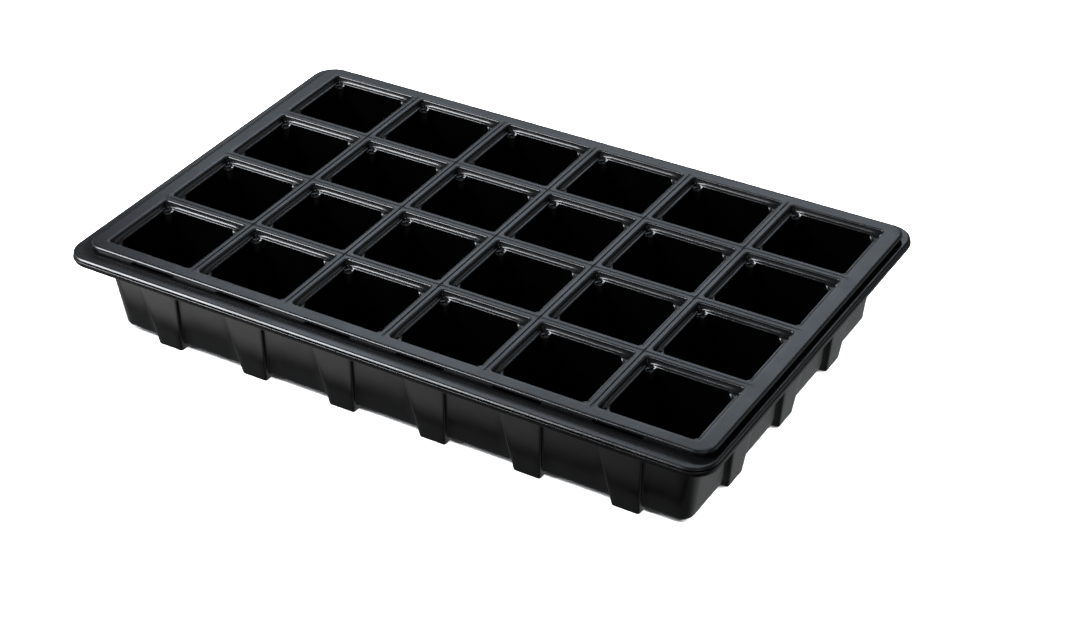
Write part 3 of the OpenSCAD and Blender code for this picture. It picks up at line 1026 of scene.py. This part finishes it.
@dataclass
class Studio:
    """Floor, lights and camera, in metres and degrees."""

    target: tuple[float, float, float] = (0.03944, -0.0168, 0.03)
    azimuth: float = 31.79
    elevation: float = 34.18
    roll: float = -1.30
    distance: float = 1.2035
    lens: float = 78.03
    floor_half: float = 6.0
    softboxes: tuple[Softbox, ...] = (
        Softbox("softbox_behind", (-0.977, 1.692, 1.394), (1.2, 0.5), 4.5, "#e4f1ff"),
        Softbox("softbox_front_left", (-1.30, -0.95, 1.34), (1.1, 0.9), 60.0),
        Softbox("softbox_top", (0.5, 0.2, 2.3), (0.5, 0.5), 2.0),
        Softbox("softbox_front_right", (1.8, -1.7, 1.2), (1.4, 0.9), 4.0),
        Softbox("softbox_back_right", (2.0, 1.3, 1.1), (1.4, 0.9), 3.0),
    )
    paper_lamps: tuple[Softbox, ...] = (
        Softbox("paper_front", (0.7, -1.3, 2.6), (1.2, 1.2), 260.0, "#ffffff"),
        Softbox("paper_top", (-0.3, 0.6, 2.8), (1.2, 1.2), 90.0, "#ffffff"),
        Softbox("paper_right", (2.0, 0.7, 1.9), (1.2, 1.2), 160.0, "#ffffff"),
    )
    card_x: tuple[float, float] = (-0.7, 0.3)
    card_y: tuple[float, float] = (-0.22, -0.112)
    card_height: float = 0.0004
    card_glow: float = 1.0
    # an axis, where the card is dark and where it is bright
    card_fades: tuple[tuple[str, float, float], ...] = (
        ("X", 0.3, -0.27),
        ("Y", -0.112, -0.125),
        ("Y", -0.185, -0.135),
    )
    lamp_aim: tuple[float, float, float] = (0.0, 0.0, 0.03)
    room_dim: float = 0.11
    room_colour: str = "#f6f8fa"
    # a way to look, the cosines where its glow begins and is full, and its strength
    glows: tuple[tuple[tuple[float, float, float], float, float, float], ...] = (
        ((-1.0, -0.1, -0.1), 0.6, 0.9, 0.3),
        ((0.45, 0.72, -0.5), 0.6, 0.95, 0.25),
    )

    def flat_sheet(
        self,
        name: str,
        ends_x: tuple[float, float],
        ends_y: tuple[float, float],
        height: float,
        count: int,
    ) -> bpy.types.Object:
        """A level sheet of evenly spaced points, each joined to its neighbours in X and in Y.

        Args:
            name: The object's name.
            ends_x: Where it begins and ends in X, in metres.
            ends_y: Where it begins and ends in Y, in metres.
            height: Its height, in metres.
            count: Points along each side.

        Returns:
            The new object.
        """
        x, y = np.meshgrid(np.linspace(*ends_x, count), np.linspace(*ends_y, count))
        points = np.stack([x.ravel(), y.ravel(), np.full(x.size, height)], axis=1)
        r, c = np.meshgrid(np.arange(count - 1), np.arange(count - 1), indexing="ij")
        first, above = r * count + c, (r + 1) * count + c
        quads = np.stack([first, first + 1, above + 1, above], axis=-1)
        mesh = bpy.data.meshes.new(name)
        mesh.from_pydata(points, [], quads.reshape(-1, 4).tolist())
        sheet = bpy.data.objects.new(name, mesh)
        bpy.context.scene.collection.objects.link(sheet)
        return sheet

    def build_floor(self) -> None:
        """A wide plain floor that reflections and bounced light don't see."""
        ends = (-self.floor_half, self.floor_half)
        floor = self.flat_sheet("studio_floor", ends, ends, 0.0, 9)
        floor.data.materials.append(StudioPaper().make())
        floor.visible_glossy = False
        floor.visible_diffuse = False
        self.floor = floor

    def build_bounce_card(self) -> None:
        """A glowing card on the floor before the long wall, which only reflections see.

        Its light falls from its left end to its right end, and fades softly towards both long
        edges, so the wall is lighter at its top and to the left and the rim's skirt stays dark.
        """
        card = self.flat_sheet("bounce_card", self.card_x, self.card_y, self.card_height, 5)
        material = bpy.data.materials.new("bounce_card")
        tree = empty_tree(material)
        place = add_node(tree, "ShaderNodeTexCoord").outputs["Object"]
        split = add_node(tree, "ShaderNodeSeparateXYZ", None, {"Vector": place})
        fade = []
        for axis, begins, full in self.card_fades:
            ramp = {"interpolation_type": "SMOOTHSTEP", "From Min": begins, "From Max": full}
            ramp |= {"To Min": 0.0, "To Max": 1.0}
            share = add_node(tree, "ShaderNodeMapRange", ramp, {"Value": split.outputs[axis]})
            fade.append(share.outputs["Result"])
        times = {"operation": "MULTIPLY"}
        near = add_node(tree, "ShaderNodeMath", times, {0: fade[1], 1: fade[2]}).outputs[0]
        both = add_node(tree, "ShaderNodeMath", times, {0: fade[0], 1: near}).outputs[0]
        power = add_node(tree, "ShaderNodeMath", times, {0: both})
        power.inputs[1].default_value = self.card_glow
        glow = add_node(tree, "ShaderNodeEmission", None, {"Strength": power.outputs[0]})
        add_node(tree, "ShaderNodeOutputMaterial", None, {"Surface": glow.outputs["Emission"]})
        card.data.materials.append(material)
        card.visible_camera = False
        card.visible_diffuse = False
        card.visible_shadow = False

    def hang(self, box: Softbox) -> bpy.types.Object:
        """Adds one lamp, aimed at the object.

        Args:
            box: What the lamp is.

        Returns:
            The lamp's object.
        """
        light = bpy.data.lights.new(box.name, "AREA")
        light.shape = "RECTANGLE"
        light.size, light.size_y = box.size
        light.energy = box.power
        light.color = linear(box.colour)[:3]
        lamp = bpy.data.objects.new(box.name, light)
        lamp.location = box.place
        aim = Vector(self.lamp_aim) - Vector(box.place)
        lamp.rotation_euler = aim.to_track_quat("-Z", "Y").to_euler()
        bpy.context.scene.collection.objects.link(lamp)
        return lamp

    def build_room(self) -> None:
        """A dim room with glows: each grows with how nearly a direction points its way."""
        world = bpy.data.worlds.new("studio_room")
        bpy.context.scene.world = world
        tree = empty_tree(world)
        way = add_node(tree, "ShaderNodeTexCoord").outputs["Generated"]
        level = add_node(tree, "ShaderNodeValue").outputs[0]
        level.default_value = self.room_dim
        for toward, begins, full, gain in self.glows:
            share = add_node(tree, "ShaderNodeVectorMath", {"operation": "DOT_PRODUCT"}, {0: way})
            share.inputs[1].default_value = Vector(toward).normalized()
            ramp = {"interpolation_type": "SMOOTHSTEP", "From Min": begins, "From Max": full}
            ramp |= {"To Min": 0.0, "To Max": gain}
            glow = add_node(tree, "ShaderNodeMapRange", ramp, {"Value": share.outputs["Value"]})
            both = {0: level, 1: glow.outputs["Result"]}
            level = add_node(tree, "ShaderNodeMath", {"operation": "ADD"}, both).outputs[0]
        colour = {"Color": linear(self.room_colour)}
        room = add_node(tree, "ShaderNodeBackground", colour, {"Strength": level})
        add_node(tree, "ShaderNodeOutputWorld", None, {"Surface": room.outputs["Background"]})

    def build_lights(self) -> None:
        """Softboxes round the object, and lamps that light the paper alone.

        The one behind lays the deck's grey sheen, the bright one at the front left draws the thin
        lines on rounded edges, and the two on the right keep the other sides readable.
        """
        self.build_room()
        for box in self.softboxes:
            self.hang(box)
        paper = bpy.data.collections.new("paper_only")
        paper.objects.link(self.floor)
        for box in self.paper_lamps:
            self.hang(box).light_linking.receiver_collection = paper

    def build_camera(self) -> None:
        """The camera on its arm: round by azimuth, up by elevation, then rolled about its view."""
        around, up = math.radians(self.azimuth), math.radians(self.elevation)
        arm = Vector((math.sin(around) * math.cos(up), -math.cos(around) * math.cos(up), math.sin(up)))
        ahead = -arm
        right = ahead.cross(Vector((0, 0, 1))).normalized()
        above = right.cross(ahead)
        tilt = math.radians(self.roll)
        side = right * math.cos(tilt) + above * math.sin(tilt)
        over = above * math.cos(tilt) - right * math.sin(tilt)
        data = bpy.data.cameras.new("camera")
        data.lens = self.lens
        data.sensor_width = 36.0
        data.sensor_fit = "HORIZONTAL"
        data.clip_end = 50.0
        camera = bpy.data.objects.new("camera", data)
        frame = Matrix((side, over, arm)).transposed().to_4x4()
        frame.translation = Vector(self.target) + arm * self.distance
        camera.matrix_world = frame
        bpy.context.scene.collection.objects.link(camera)
        bpy.context.scene.camera = camera

    def build(self) -> None:
        """Builds the whole studio."""
        self.build_camera()
        self.build_floor()
        self.build_bounce_card()
        self.build_lights()
        bpy.context.scene.view_settings.view_transform = "Standard"


def plain(bounds: object) -> list[list[float]]:
    """A box as plain lists of numbers."""
    return [[float(v) for v in corner] for corner in bounds]


def main() -> None:
    """Builds the studio, the tray and the insert."""
    logging.basicConfig(level=logging.INFO, format="%(name)s: %(message)s")
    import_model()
    Studio().build()
    CarrierTray().build()
    CellInsert().build()


if __name__ == "__main__":
    main()
